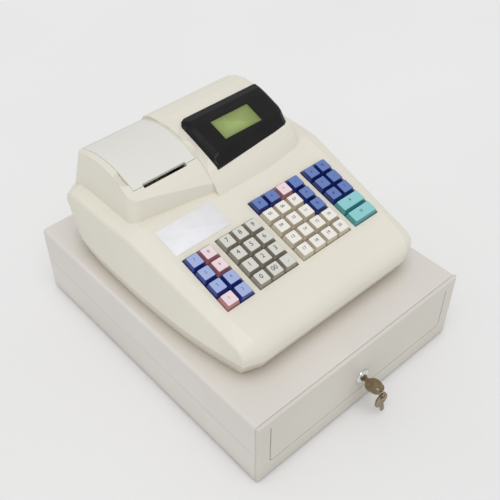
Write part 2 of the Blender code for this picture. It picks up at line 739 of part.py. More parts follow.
def key_wells():
    """The four pockets that the keys stand in, and a guide hole for each key's stem."""
    cuts = []
    for name, columns, rows, left in block_places():
        cuts.append(deck_box("well", (left - WELL_MARGIN, WELL_FRONT - WELL_MARGIN, -WELL_DEPTH),
                             (left + columns * PITCH + WELL_MARGIN, WELL_FRONT + rows * PITCH + WELL_MARGIN, OVERRUN)))
    side = STEM_SIDE / 2 + GAP
    for _, across, up, _ in key_places():
        cuts.append(deck_box("guide", (across - side, up - side, -WELL_DEPTH - KEYBED - OVERRUN),
                             (across + side, up + side, -WELL_DEPTH + OVERRUN)))
    return cuts


def case_hollow():
    """The room inside the upper case, left solid round the keyboard and the paper bay."""
    room = case_form("room", CASE_WALL, CASE_SEAM - OVERRUN)
    places = block_places()
    left = places[0][3] - KEYBED_BORDER
    rows = max(rows for _, _, rows in BLOCKS)
    keep = [deck_box("keyboard", (left, WELL_FRONT - KEYBED_BORDER, -WELL_DEPTH - KEYBED),
                     (-left, WELL_FRONT + rows * PITCH + KEYBED_BORDER, WELL_DEPTH)),
            prism("bucket", bay_outline(CASE_WALL), LID_LEFT + LID_LEDGE - CASE_WALL,
                  LID_RIGHT - LID_LEDGE + CASE_WALL, "X")]
    combine(room, keep, "DIFFERENCE")
    return room


def upper_case(look, parent):
    """Upper shell with deck, printer head and display head."""
    shell = case_form("upper_case", 0, CASE_SEAM + GAP / 2)
    combine(shell, [printer_head(), display_head(0)], "UNION")
    combine(shell, [case_hollow(), display_head(DISPLAY_WALL)], "DIFFERENCE")
    combine(shell, bay_cuts(), "DIFFERENCE")
    combine(shell, key_wells(), "DIFFERENCE")
    combine(shell, [visor_form(GAP)], "DIFFERENCE")
    return finish(shell, "upper_case", look, parent)


def octagon(half_x, half_y, cut, height):
    """A rectangle with its corners cut off, at one height."""
    return [(half_x, -half_y + cut, height), (half_x, half_y - cut, height), (half_x - cut, half_y, height),
            (-half_x + cut, half_y, height), (-half_x, half_y - cut, height), (-half_x, -half_y + cut, height),
            (-half_x + cut, -half_y, height), (half_x - cut, -half_y, height)]


def key_mesh(name, width):
    """A keytop: skirt, sloping sides, soft rim and flat top, on a square stem."""
    half_x = (width * PITCH - KEY_SPACE) / 2
    half_y = (PITCH - KEY_SPACE) / 2
    top_x = half_x - (PITCH - KEY_SPACE - KEY_TOP) / 2
    top_y = KEY_TOP / 2
    rings = [octagon(half_x, half_y, KEY_CORNER, -KEY_SINK),
             octagon(half_x, half_y, KEY_CORNER, -KEY_SKIRT),
             octagon(top_x + KEY_RIM / 2, top_y + KEY_RIM / 2, KEY_CORNER, KEY_PROUD - KEY_BEVEL),
             octagon(top_x - KEY_RIM / 2, top_y - KEY_RIM / 2, KEY_CORNER, KEY_PROUD)]
    points = [point for ring in rings for point in ring]
    faces = []
    for ring in range(len(rings) - 1):
        low = ring * 8
        for side in range(8):
            after = (side + 1) % 8
            faces.append((low + side, low + after, low + after + 8, low + side + 8))
    faces.append(tuple(range(24, 32)))
    stem = STEM_SIDE / 2
    for height in (-KEY_SINK, -KEY_SINK - STEM_REACH):
        points += [(stem, -stem, height), (stem, stem, height), (-stem, stem, height), (-stem, -stem, height)]
    for side in range(4):
        after = (side + 1) % 4
        skirt = side * 2
        faces.append((skirt + 1, skirt, 32 + side, 32 + after))
        faces.append(((skirt + 2) % 8, skirt + 1, 32 + after))
        faces.append((32 + after, 32 + side, 36 + side, 36 + after))
    faces.append((39, 38, 37, 36))
    return solid(name, points, faces)


def key_look(name, looks):
    if "wide" in name:
        return looks["teal"]
    if name in PINK_KEYS:
        return looks["pink"]
    if name.startswith("key_digit"):
        return looks["grey"]
    if name.startswith("key_plu") and name not in BLUE_PLU_KEYS:
        return looks["white"]
    return looks["blue"]


def keys(looks, parent):
    for name, across, up, width in key_places():
        made = key_mesh(name, width)
        finish(made, name, key_look(name, looks), parent)
        made.matrix_local = DECK @ Matrix.Translation((across, up, 0))


def drawer_base(look, parent):
    """Steel pan with a rail along each side, a back wall and four feet."""
    half = DRAWER_WIDTH / 2
    top = DRAWER_SEAM - GAP / 2
    floor = FOOT_HEIGHT + STEEL
    right = [(half, FOOT_HEIGHT), (half, top), (half - STEEL, top), (half - STEEL, floor + RAIL_HEIGHT),
             (half - STEEL - RAIL_WIDTH, floor + RAIL_HEIGHT), (half - STEEL - RAIL_WIDTH, floor)]
    outline = right + [(-x, z) for x, z in reversed(right)]
    made = prism("base", outline, HOUSING_FRONT, HOUSING_BACK, "Y")
    joined = [box("back", (-half, HOUSING_BACK - STEEL, FOOT_HEIGHT), (half, HOUSING_BACK, top))]
    for x in (-half + FOOT_INSET, half - FOOT_INSET):
        for y in (HOUSING_FRONT + FOOT_INSET, HOUSING_BACK - FOOT_INSET):
            joined.append(pin("foot", (x, y), FOOT_RADIUS, 0, FOOT_HEIGHT + STEEL / 2, "Z", 16))
    combine(made, joined, "UNION")
    return finish(made, "drawer_base", look, parent)


def drawer_cover(look, parent):
    """Folded steel cover over the drawer, with rounded long edges and a back wall."""
    half = DRAWER_WIDTH / 2
    low = DRAWER_SEAM + GAP / 2
    inner = COVER_RADIUS - STEEL
    outer = rounded([(half, low, 0), (half, DRAWER_TOP, COVER_RADIUS), (-half, DRAWER_TOP, COVER_RADIUS),
                     (-half, low, 0)], 4)
    inside = rounded([(-half + STEEL, low, 0), (-half + STEEL, DRAWER_TOP - STEEL, inner),
                      (half - STEEL, DRAWER_TOP - STEEL, inner), (half - STEEL, low, 0)], 4)
    made = prism("cover", outer + inside, HOUSING_FRONT, HOUSING_BACK, "Y")
    wall = prism("wall", outer, HOUSING_BACK - STEEL, HOUSING_BACK, "Y")
    combine(made, [wall], "UNION")
    return finish(made, "drawer_cover", look, parent)


def drawer_tray(look, parent):
    """Steel drawer with folded lips, open on top, with a hole for the lock."""
    made = box("tray", (-TRAY_HALF, TRAY_FRONT, TRAY_FLOOR), (TRAY_HALF, TRAY_BACK, TRAY_TOP))
    inside = box("inside", (-TRAY_HALF + STEEL, TRAY_FRONT + STEEL, TRAY_FLOOR + STEEL),
                 (TRAY_HALF - STEEL, TRAY_BACK - STEEL, TRAY_TOP - STEEL))
    mouth = box("mouth", (-TRAY_HALF + TRAY_LIP, TRAY_FRONT + TRAY_LIP, TRAY_TOP - STEEL - OVERRUN),
                (TRAY_HALF - TRAY_LIP, TRAY_BACK - TRAY_LIP, TRAY_TOP + OVERRUN))
    hole = pin("hole", (0, LOCK_Z), LOCK_SHANK_RADIUS + GAP, TRAY_FRONT - OVERRUN, TRAY_FRONT + STEEL + OVERRUN, "Y", 24)
    combine(made, [inside, mouth, hole], "DIFFERENCE")
    return finish(made, "drawer_tray", look, parent)


def drawer_front(look, parent):
    """Moulded front with rounded edges, an engraved line on three sides and a hole for the lock."""
    half = DRAWER_WIDTH / 2
    form = bmesh.new()
    bmesh.ops.create_cube(form, size=1)
    size = (DRAWER_WIDTH, FRONT_THICKNESS, DRAWER_HEIGHT)
    middle = (0, FRONT_FACE + FRONT_THICKNESS / 2, FOOT_HEIGHT + DRAWER_HEIGHT / 2)
    bmesh.ops.scale(form, vec=size, verts=form.verts)
    bmesh.ops.translate(form, vec=middle, verts=form.verts)
    rim = [edge for edge in form.edges if all(vert.co.y < middle[1] for vert in edge.verts)]
    bmesh.ops.bevel(form, geom=rim, offset=FRONT_RADIUS, segments=3, profile=0.5, affect="EDGES")
    made = finish_form("front", form)
    left = half - GROOVE_SIDE_INSET
    low = FOOT_HEIGHT + GROOVE_BOTTOM_RISE
    high = DRAWER_TOP - GROOVE_TOP_DROP
    outer = rounded([(-left, high, 0), (-left, low, GROOVE_RADIUS), (left, low, GROOVE_RADIUS), (left, high, 0)], 4)
    edge = left - GROOVE_WIDTH
    inside = rounded([(edge, high, 0), (edge, low + GROOVE_WIDTH, GROOVE_RADIUS - GROOVE_WIDTH),
                      (-edge, low + GROOVE_WIDTH, GROOVE_RADIUS - GROOVE_WIDTH), (-edge, high, 0)], 4)
    groove = prism("groove", outer + inside, FRONT_FACE - OVERRUN, FRONT_FACE + GROOVE_DEPTH, "Y")
    hole = pin("hole", (0, LOCK_Z), LOCK_SHANK_RADIUS + GAP, FRONT_FACE - OVERRUN,
               FRONT_FACE + FRONT_THICKNESS + OVERRUN, "Y", 24)
    combine(made, [groove, hole], "DIFFERENCE")
    return finish(made, "drawer_front", look, parent)


def cash_insert(look, parent):
    """Moulded insert: coin cups with scooped floors in front, note bays behind."""
    half = TRAY_HALF - STEEL - INSERT_PLAY - TRAY_LIP
    front = TRAY_FRONT + STEEL + INSERT_FRONT_PLAY
    back = TRAY_BACK - STEEL - INSERT_PLAY - TRAY_LIP
    low = TRAY_FLOOR + STEEL + GAP
    high = low + INSERT_HEIGHT
    made = box("insert", (-half, front, low), (half, back, high))
    cup_back = front + COIN_ROW_DEPTH
    cuts = []
    for count, start, end, radius in ((COIN_CUPS, front + INSERT_WALL, cup_back, CUP_SCOOP_RADIUS),
                                      (NOTE_BAYS, cup_back + INSERT_WALL, back - INSERT_WALL, 0)):
        width = (2 * half - (count + 1) * INSERT_WALL) / count
        outline = rounded([(start, high + OVERRUN, 0), (start, low + INSERT_FLOOR, radius),
                           (end, low + INSERT_FLOOR, 0), (end, high + OVERRUN, 0)], 4)
        for index in range(count):
            left = -half + INSERT_WALL + index * (width + INSERT_WALL)
            cuts.append(prism("room", outline, left, left + width, "X"))
    combine(made, cuts, "DIFFERENCE")
    return finish(made, "cash_insert", look, parent)


def lock_barrel(look, parent):
    """Chromed lock body: a domed flange on a round shank, bored for the plug."""
    dome = [(LOCK_FLANGE_RADIUS * cos(angle), FRONT_FACE - GAP - LOCK_DOME * sin(angle))
            for angle in (radians(step) for step in (60, 45, 30, 15, 0))]
    profile = dome + [(LOCK_SHANK_RADIUS, FRONT_FACE - GAP), (LOCK_SHANK_RADIUS, FRONT_FACE + LOCK_SHANK)]
    made = turned("barrel", profile, (0, LOCK_Z), 24)
    bore = pin("bore", (0, LOCK_Z), PLUG_RADIUS + GAP, FRONT_FACE - LOCK_DOME - OVERRUN,
               FRONT_FACE + LOCK_SHANK + OVERRUN, "Y", 20)
    combine(made, [bore], "DIFFERENCE")
    return finish(made, "lock_barrel", look, parent)


def bow_outline(start, along, width, length):
    """A key's grip, drawn from its neck: start is where the neck ends, along is -1 or 1."""
    half = width / 2
    neck = KEY_BLADE_WIDTH / 2
    places = ((neck, 0, 0), (half * 0.80, 0.14, 0.30), (half, 0.42, 0.45), (half * 0.72, 0.90, 0.22),
              (half * 0.30, 1, 0.12))
    right = [(x, start + along * length * run, length * soft) for x, run, soft in places]
    left = [(-x, run, soft) for x, run, soft in reversed(right)]
    return rounded(right + left, 3)


def lock_key(look, parent):
    """The plug, with the key in it and the key's grip lying level."""
    face = FRONT_FACE - LOCK_DOME * sin(radians(60)) - PLUG_PROUD
    made = pin("plug", (0, LOCK_Z), PLUG_RADIUS, face, FRONT_FACE + LOCK_SHANK + GAP, "Y", 20)
    low = LOCK_Z - KEY_THICKNESS / 2
    high = LOCK_Z + KEY_THICKNESS / 2
    blade = box("blade", (-KEY_BLADE_WIDTH / 2, BOW_START - OVERRUN, low), (KEY_BLADE_WIDTH / 2, FRONT_FACE, high))
    bow = prism("bow", bow_outline(BOW_START, -1, BOW_WIDTH, BOW_LENGTH), low, high, "Z")
    combine(made, [blade, bow], "UNION")
    hole = pin("hole", (0, BOW_HOLE_Y), BOW_HOLE_RADIUS, low - OVERRUN, high + OVERRUN, "Z", 12)
    combine(made, [hole], "DIFFERENCE")
    return finish(made, "lock_key", look, parent, origin=(0, FRONT_FACE, LOCK_Z))


def wire_ring(centre, radius, wire, around, across):
    """A closed ring of round wire in the YZ plane."""
    points = []
    faces = []
    for step in range(around):
        turn = 2 * pi * step / around
        for side in range(across):
            tilt = 2 * pi * side / across
            reach = radius + wire * cos(tilt)
            points.append((wire * sin(tilt), centre[0] + reach * cos(turn), centre[1] + reach * sin(turn)))
            after = (side + 1) % across
            low = step * across
            high = (step + 1) % around * across
            faces.append((low + side, low + after, high + after, high + side))
    return solid("ring", points, faces)


def spare_key(look, parent):
    """The second key, hanging by a wire ring from the hole in the first key's grip."""
    hang = RING_Z - RING_RADIUS
    bow_top = hang + BOW_HOLE_INSET - BOW_HOLE_RADIUS
    bow_low = bow_top - BOW_LENGTH
    start = RING_Y - KEY_THICKNESS / 2
    end = RING_Y + KEY_THICKNESS / 2
    made = prism("bow", bow_outline(bow_low, 1, BOW_WIDTH, BOW_LENGTH), start, end, "Y")
    notch = KEY_BLADE_WIDTH / 6
    half = KEY_BLADE_WIDTH / 2
    tip = bow_low - SPARE_BLADE
    teeth = [(half - (notch if step % 2 else 0), tip + half + (SPARE_BLADE - half) * step / 6) for step in range(6)]
    outline = [(-half, bow_low + OVERRUN), (-half, tip + half), (0, tip)] + teeth + [(half, bow_low + OVERRUN)]
    combine(made, [prism("blade", outline, start, end, "Y")], "UNION")
    hole_z = bow_top - BOW_HOLE_INSET
    hole = pin("hole", (0, hole_z), BOW_HOLE_RADIUS, start - OVERRUN, end + OVERRUN, "Y", 12)
    combine(made, [hole], "DIFFERENCE")
    lean = Matrix.Translation((0, 0, hang)) @ Matrix.Rotation(-SPARE_LEAN, 4, "Y") @ Matrix.Translation((0, 0, -hang))
    made.data.transform(lean)
    made.data.transform(Matrix.Translation((0, 0, -RING_WIRE / 2)))
    combine(made, [wire_ring((RING_Y, RING_Z), RING_RADIUS, RING_WIRE, 20, 6)], "UNION")
    return finish(made, "spare_key", look, parent, origin=(0, BOW_HOLE_Y, LOCK_Z))


def empty(name, place, parent=None):
    made = bpy.data.objects.new(name, None)
    bpy.context.scene.collection.objects.link(made)
    made.location = place
    made.parent = parent
    return made


def materials():
    return {
        "cream": material("cream_plastic", (0.74, 0.71, 0.61), 0.45),
        "lid": material("lid_plastic", (0.76, 0.74, 0.68), 0.45),
        "steel": material("painted_steel", (0.68, 0.65, 0.62), 0.5),
        "front": material("front_plastic", (0.55, 0.53, 0.48), 0.5),
        "tray": material("tray_steel", (0.45, 0.45, 0.45), 0.5),
        "insert": material("insert_plastic", (0.05, 0.05, 0.05), 0.6),
        "chrome": material("chrome", (0.8, 0.8, 0.8), 0.1, 1.0),
        "brass": material("key_metal", (0.36, 0.29, 0.19), 0.35, 1.0),
        "visor": material("visor_gloss", (0.01, 0.01, 0.01), 0.08),
        "blue": material("key_blue", (0.06, 0.11, 0.40), 0.3),
        "pink": material("key_pink", (0.70, 0.42, 0.46), 0.35),
        "grey": material("key_grey", (0.46, 0.44, 0.40), 0.4),
        "white": material("key_white", (0.80, 0.77, 0.68), 0.4),
        "teal": material("key_teal", (0.18, 0.52, 0.52), 0.35),
    }


def build():
    clear_scene()
    looks = materials()
    register = empty("register", (0, BODY_Y, 0))
    drawer_base(looks["steel"], register)
    drawer_cover(looks["steel"], register)
    drawer_tray(looks["tray"], register)
    drawer_front(looks["front"], register)
    cash_insert(looks["insert"], register)
    lock_barrel(looks["chrome"], register)
    lock_key(looks["brass"], register)
    spare_key(looks["brass"], register)
    lower_case(looks["cream"], register)
    upper_case(looks["cream"], register)
    printer_lid(looks["lid"], register)
    display_visor(looks["visor"], register)
    keys(looks, register)


build()
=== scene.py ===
import json
from math import cos, pi, radians, sin

import bmesh
import bpy
from mathutils import Matrix, Vector


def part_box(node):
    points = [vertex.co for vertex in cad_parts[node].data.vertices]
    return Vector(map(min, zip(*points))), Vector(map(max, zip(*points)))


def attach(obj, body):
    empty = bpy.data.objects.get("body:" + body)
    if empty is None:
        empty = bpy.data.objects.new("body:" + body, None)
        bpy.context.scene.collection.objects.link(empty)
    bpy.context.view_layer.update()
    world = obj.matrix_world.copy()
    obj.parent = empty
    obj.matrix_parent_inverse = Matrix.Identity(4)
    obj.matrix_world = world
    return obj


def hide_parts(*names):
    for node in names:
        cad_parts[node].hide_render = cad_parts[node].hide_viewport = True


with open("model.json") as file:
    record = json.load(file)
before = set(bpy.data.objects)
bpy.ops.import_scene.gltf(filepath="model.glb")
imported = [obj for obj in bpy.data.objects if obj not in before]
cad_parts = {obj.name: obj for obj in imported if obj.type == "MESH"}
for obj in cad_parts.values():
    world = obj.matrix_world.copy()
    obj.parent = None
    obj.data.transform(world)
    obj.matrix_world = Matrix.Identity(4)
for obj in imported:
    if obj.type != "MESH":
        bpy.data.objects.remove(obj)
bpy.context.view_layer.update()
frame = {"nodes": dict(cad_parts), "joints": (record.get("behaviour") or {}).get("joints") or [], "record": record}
nodes = frame["nodes"]
joints = {joint["name"]: joint for joint in frame["joints"]}

MM = 0.001

# Directions on the deck: into it, across it and up its slope
PRESS = Vector(joints["key_digit_0_0_press"]["axis"]).normalized()
ACROSS = Vector((1, 0, 0))
UP_DECK = (-PRESS).cross(ACROSS)

# The camera of the photograph, in the part's frame
DRAWER_HALF_DEPTH = 205.5 * MM
BODY_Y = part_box("drawer_front")[0].y + DRAWER_HALF_DEPTH
CAMERA_PLACE = Vector((-0.4821, BODY_Y - 0.5426, 0.8099))
CAMERA_AZIMUTH = radians(-42.21)
CAMERA_ELEVATION = radians(44.02)
CAMERA_ROLL = radians(0.035)
SENSOR = 36.0
LENS = 58.0

# Light
SKY_LEVEL = 0.66
SUN_LEVEL = 1.12
SUN_SPREAD = radians(50)
SUN_TILT = (radians(18), radians(-14), 0)
FLOOR_SIZE = 12.0
FLOOR_COLOUR = (236, 236, 236)
FLOOR_SHADE = (232, 232, 232)
FLOOR_SINK = 0.1 * MM

# Radius to which the shading rounds the edges of moulded and painted pieces
SOFT_EDGE = 0.9 * MM

# Keytops
CAP_CORNER = 1.5 * MM
CAP_SIDE_CORNER = 1.9 * MM
CAP_TOP = 14.2 * MM
CAP_RIM = 0.8 * MM
CAP_RIM_START_SHARE = 0.7
CAP_RIM_REACH_SHARE = 0.9
CAP_RIM_DROP = 1.3 * MM
CAP_RIM_STEPS = 4
CAP_CORNER_STEP = 0.1 * MM
CAP_RISE = 6.3 * MM
CAP_SKIRT = 3.4 * MM
CAP_LEDGE = 0.25 * MM
CAP_LEDGE_LOW = 0.3 * MM
CAP_LEDGE_HIGH = 0.2 * MM
CAP_DISH = 0.35 * MM
# Shares of the top's size and of the dish's depth at its inner rings
CAP_DISH_SHARES = ((0.62, 0.55), (0.25, 0.95))
CAP_SPLIT = radians(50)
CORNER_STEPS = 4
LEGEND_LIFT = 0.05 * MM
LEGEND_THICKNESS = 0.04 * MM
LEGEND_DISH_SHARE = 0.8
LEGEND_SHIFT = (0.0, 1.0 * MM)
DIGIT_SIZE = 8.4 * MM
SMALL_SIZE = 5.6 * MM

# Printer under the lid
PAPER_WIDTH = 57.0 * MM
ROLL_RADIUS = 21.0 * MM
ROLL_BORE = 6.5 * MM
ROLL_SOFT_DROP = 0.4 * MM
ROLL_SOFT_RUN = 0.5 * MM
ROLL_SET_BACK = 48.0 * MM
ROLL_Z = 203.5 * MM
CORE_OUTSIDE = 6.4 * MM
CORE_INSIDE = 4.5 * MM
CORE_PROUD = 0.4 * MM
PLATEN_WIDTH = 58.0 * MM
PLATEN_RADIUS = 5.0 * MM
PLATEN_BORE = 1.6 * MM
PLATEN_SET_BACK = 12.0 * MM
PLATEN_Z = 216.5 * MM
CUTTER_TEETH = 38
CUTTER_SET_BACK = 6.5 * MM
CUTTER_SINK = 28.5 * MM
CUTTER_HEIGHT = 5.0 * MM
CUTTER_THICKNESS = 0.6 * MM
CUTTER_TOOTH_SHARE = 0.6
CUTTER_SPLIT = radians(30)

# White plate on the deck, and the panel under the visor's window
PLATE_SIZE = (80 * MM, 39 * MM)
PLATE_X = -80.6 * MM
PLATE_CLIMB = 105 * MM
PLATE_LIFT = 0.02 * MM
PLATE_BEVEL = 0.15 * MM
PLATE_SIDE_SHARE = 0.6
KEY_PROUD = 5.5 * MM
PLATE_THICKNESS = 0.45 * MM
PLATE_CORNER = 1.5 * MM
PANEL_TILT = radians(18.7)
PANEL_SIZE = (58.4 * MM, 29.4 * MM)
PANEL_CORNER = 0.4 * MM
PANEL_SINK = 1.0 * MM
PANEL_THICKNESS = 0.5 * MM
PANEL_X = 47.8 * MM
PANEL_Y = BODY_Y + 66.0 * MM
PANEL_Z = 247.0 * MM


def linear(value):
    value /= 255
    return value / 12.92 if value <= 0.04045 else ((value + 0.055) / 1.055) ** 2.4


def colour(rgb):
    return (*(linear(value) for value in rgb), 1)


class Shader:
    """A material with one Principled shader, built up a node at a time."""

    def __init__(self, name, roughness=0.5, metallic=0.0, **fixed):
        self.material = bpy.data.materials.new(name)
        self.material.use_nodes = True
        self.tree = self.material.node_tree
        self.shader = self.tree.nodes["Principled BSDF"]
        self.shader.inputs["Roughness"].default_value = roughness
        self.shader.inputs["Metallic"].default_value = metallic
        for socket, value in fixed.items():
            self.shader.inputs[socket.replace("_", " ")].default_value = value

    def node(self, kind, **inputs):
        made = self.tree.nodes.new(kind)
        for socket, value in inputs.items():
            self.feed(made.inputs[socket.replace("_", " ")], value)
        return made

    def feed(self, socket, value):
        if isinstance(value, bpy.types.NodeSocket):
            self.tree.links.new(value, socket)
        else:
            socket.default_value = value

    def place(self):
        return self.node("ShaderNodeTexCoord").outputs["Object"]

    def noise(self, scale, detail=3.0, roughness=0.5, vector=None):
        made = self.node("ShaderNodeTexNoise", Scale=scale, Detail=detail, Roughness=roughness)
        self.feed(made.inputs["Vector"], vector or self.place())
        return made.outputs["Fac"]

    def ramp(self, factor, low, high, first, last):
        """first below low, last above high, and a blend between them."""
        made = self.node("ShaderNodeValToRGB", Fac=factor)
        made.color_ramp.elements[0].position = low
        made.color_ramp.elements[1].position = high
        made.color_ramp.elements[0].color = first
        made.color_ramp.elements[1].color = last
        return made.outputs["Color"]

    def mix(self, factor, first, second, blend="MIX"):
        made = self.node("ShaderNodeMix")
        made.data_type = "RGBA"
        made.blend_type = blend
        self.feed(made.inputs[0], factor)
        self.feed(made.inputs[6], first)
        self.feed(made.inputs[7], second)
        return made.outputs[2]

    def scaled(self, value, low, high):
        """Maps 0..1 to low..high."""
        made = self.node("ShaderNodeMapRange")
        self.feed(made.inputs["Value"], value)
        made.inputs["To Min"].default_value = low
        made.inputs["To Max"].default_value = high
        return made.outputs["Result"]

    def colour(self, value):
        self.feed(self.shader.inputs["Base Color"], value)
        return self

    def roughness(self, value):
        self.feed(self.shader.inputs["Roughness"], value)
        return self

    def bump(self, height, strength, distance, soft_edge=0.0):
        """Fine relief; soft_edge is the radius to which the shading rounds the edges."""
        made = self.node("ShaderNodeBump", Strength=strength, Distance=distance, Height=height)
        if soft_edge:
            edge = self.node("ShaderNodeBevel", Radius=soft_edge)
            edge.samples = 6
            self.tree.links.new(edge.outputs["Normal"], made.inputs["Normal"])
        self.tree.links.new(made.outputs["Normal"], self.shader.inputs["Normal"])
        return self


def painted_shade_mask(shader, distance):
    """Mask for painted shade: 1 in the open and 0 deep in a corner."""
    made = shader.node("ShaderNodeAmbientOcclusion", Distance=distance)
    made.samples = 8
    return made.outputs["AO"]


def moulded(name, rgb, shade, roughness, grain, shade_reach=30 * MM):
    """Moulded plastic: fine spark-eroded grain, slow drift of tone and a warm painted shade in its corners."""
    made = Shader(name, roughness=roughness)
    drift = made.ramp(made.noise(9.0, 2.0), 0.3, 0.7, colour(rgb), colour([value * 0.978 for value in rgb]))
    # Painted shade: by ambient occlusion, the corners take the warm shade colour.
    painted_shade = made.scaled(painted_shade_mask(made, shade_reach), 0.55, 0.0)
    made.colour(made.mix(painted_shade, drift, colour(shade)))
    fine = made.noise(2600.0, 2.0, 0.6)
    made.roughness(made.scaled(made.noise(60.0, 3.0), roughness - 0.05, roughness + 0.05))
    return made.bump(fine, grain, 0.05 * MM, SOFT_EDGE).material


def painted(name, rgb, shade, roughness):
    """Powder-coated sheet: soft orange-peel bumps, a faint drift of tone and painted shade in its corners."""
    made = Shader(name, roughness=roughness)
    drift = made.ramp(made.noise(6.0, 2.0), 0.3, 0.7, colour(rgb), colour([value * 0.97 for value in rgb]))
    # Painted shade: by ambient occlusion, the corners take the shade colour.
    painted_shade = made.scaled(painted_shade_mask(made, 20 * MM), 0.7, 0.0)
    made.colour(made.mix(painted_shade, drift, colour(shade)))
    peel = made.noise(700.0, 2.0, 0.4)
    made.roughness(made.scaled(made.noise(40.0, 3.0), roughness - 0.06, roughness + 0.06))
    return made.bump(peel, 0.12, 0.12 * MM, SOFT_EDGE).material


def keytop(name, top, side, roughness):
    """Glossy cap: its sloping sides are painted a deeper shade than its top, by their tilt from the deck's normal;
    side is that painted shade colour.
    """
    made = Shader(name, roughness=roughness, Coat_Weight=0.35, Coat_Roughness=0.08)
    normal = made.node("ShaderNodeNewGeometry").outputs["Normal"]
    dot = made.node("ShaderNodeVectorMath")
    dot.operation = "DOT_PRODUCT"
    made.feed(dot.inputs[0], normal)
    dot.inputs[1].default_value = -PRESS
    # Painted shade: surfaces tilted away from the deck's normal take the darker side colour.
    top_and_shaded_sides = made.ramp(dot.outputs["Value"], 0.72, 0.97, colour(side), colour(top))
    speckle = made.ramp(made.noise(900.0, 2.0), 0.35, 0.65, (1, 1, 1, 1), (0.965, 0.965, 0.965, 1))
    made.colour(made.mix(1.0, top_and_shaded_sides, speckle, "MULTIPLY"))
    made.roughness(made.scaled(made.noise(120.0, 2.0), roughness - 0.04, roughness + 0.06))
    return made.bump(made.noise(1500.0, 1.0), 0.05, 0.04 * MM).material


def metal(name, rgb, roughness, scratch, worn=None):
    """Metal with fine scratches; worn is the colour where the plating is rubbed."""
    made = Shader(name, roughness=roughness, metallic=1.0)
    stretch = made.node("ShaderNodeMapping", Vector=made.place())
    stretch.inputs["Scale"].default_value = (1.0, 0.12, 1.0)
    lines = made.noise(1400.0, 3.0, 0.7, stretch.outputs["Vector"])
    blotch = made.noise(180.0, 4.0, 0.6)
    made.colour(made.ramp(blotch, 0.35, 0.7, colour(rgb), colour(worn or rgb)))
    made.roughness(made.scaled(lines, max(roughness - 0.06, 0.02), roughness + 0.1))
    return made.bump(lines, scratch, 0.03 * MM).material


def plain(name, rgb, roughness, second=None, scale=300.0, grain=0.1, **fixed):
    """A small part's plastic, paper or rubber, with grain at its own scale."""
    made = Shader(name, roughness=roughness, **fixed)
    dark = colour(second or [value * 0.9 for value in rgb])
    made.colour(made.ramp(made.noise(scale, 3.0), 0.35, 0.65, colour(rgb), dark))
    return made.bump(made.noise(scale * 4, 2.0), grain, 0.05 * MM).material


def visor_gloss():
    """Smoked glossy plastic with dust-fine bumps."""
    made = Shader("visor_gloss", roughness=0.2, Specular_IOR_Level=0.22)
    made.colour(made.ramp(made.noise(30.0, 4.0), 0.3, 0.7, colour((18, 17, 19)), colour((26, 24, 26))))
    made.roughness(made.scaled(made.noise(200.0, 3.0), 0.16, 0.26))
    return made.bump(made.noise(25.0, 2.0), 0.02, 0.3 * MM).material


def panel_green():
    """Reflective liquid crystal panel: yellow-green, with a soft shade at its edges."""
    made = Shader("panel_green", roughness=0.4, Specular_IOR_Level=0.25)
    blotch = made.ramp(made.noise(45.0, 3.0), 0.3, 0.7, colour((158, 177, 110)), colour((148, 166, 100)))
    near = made.scaled(painted_shade_mask(made, 7 * MM), 0.9, 0.0)
    made.colour(made.mix(near, blotch, colour((84, 88, 62))))
    return made.bump(made.noise(900.0, 1.0), 0.03, 0.03 * MM).material


def mesh_object(name, points, faces, look, smooth=True):
    form = bmesh.new()
    made = [form.verts.new(point) for point in points]
    for face in faces:
        form.faces.new([made[index] for index in face])
    bmesh.ops.recalc_face_normals(form, faces=form.faces)
    mesh = bpy.data.meshes.new(name)
    form.to_mesh(mesh)
    form.free()
    mesh.materials.append(look)
    mesh.polygons.foreach_set("use_smooth", [smooth] * len(mesh.polygons))
    made = bpy.data.objects.new(name, mesh)
    bpy.context.scene.collection.objects.link(made)
    return made


def lofted(name, rings, look):
    """Rings of points joined in turn, with both ends capped."""
    count = len(rings[0])
    points = [point for ring in rings for point in ring]
    faces = []
    for ring in range(len(rings) - 1):
        for side in range(count):
            after = (side + 1) % count
            low = ring * count
            faces.append((low + side, low + after, low + count + after, low + count + side))
    faces.append(tuple(reversed(range(count))))
    faces.append(tuple(range(len(points) - count, len(points))))
    return mesh_object(name, points, faces, look)


def split_edges(piece, angle):
    split = piece.modifiers.new("split", "EDGE_SPLIT")
    split.split_angle = angle


def rounded_ring(half_x, half_y, radius, height, place):
    """A rounded rectangle at a height, put in place by a matrix."""
    ring = []
    for quarter, (side_x, side_y) in enumerate(((1, 1), (-1, 1), (-1, -1), (1, -1))):
        for step in range(CORNER_STEPS + 1):
            turn = (quarter + step / CORNER_STEPS) * pi / 2
            ring.append(place @ Vector((side_x * (half_x - radius) + radius * cos(turn),
                                        side_y * (half_y - radius) + radius * sin(turn), height)))
    return ring


def node_look(name, look):
    nodes[name].data.materials.clear()
    nodes[name].data.materials.append(look)


def deck_frame(node):
    """A keytop's spans across the deck, up its slope and along its normal."""
    points = [vert.co for vert in nodes[node].data.vertices]
    spans = []
    for axis in (ACROSS, UP_DECK, -PRESS):
        runs = [point.dot(axis) for point in points]
        spans.append((min(runs), max(runs)))
    return spans


def key_matrix(spans, height):
    """Place of a keytop's middle at a height along the deck's normal."""
    middle = [(low + high) / 2 for low, high in spans[:2]]
    origin = ACROSS * middle[0] + UP_DECK * middle[1] - PRESS * height
    turn = Matrix((ACROSS, UP_DECK, -PRESS)).transposed().to_4x4()
    return Matrix.Translation(origin) @ turn


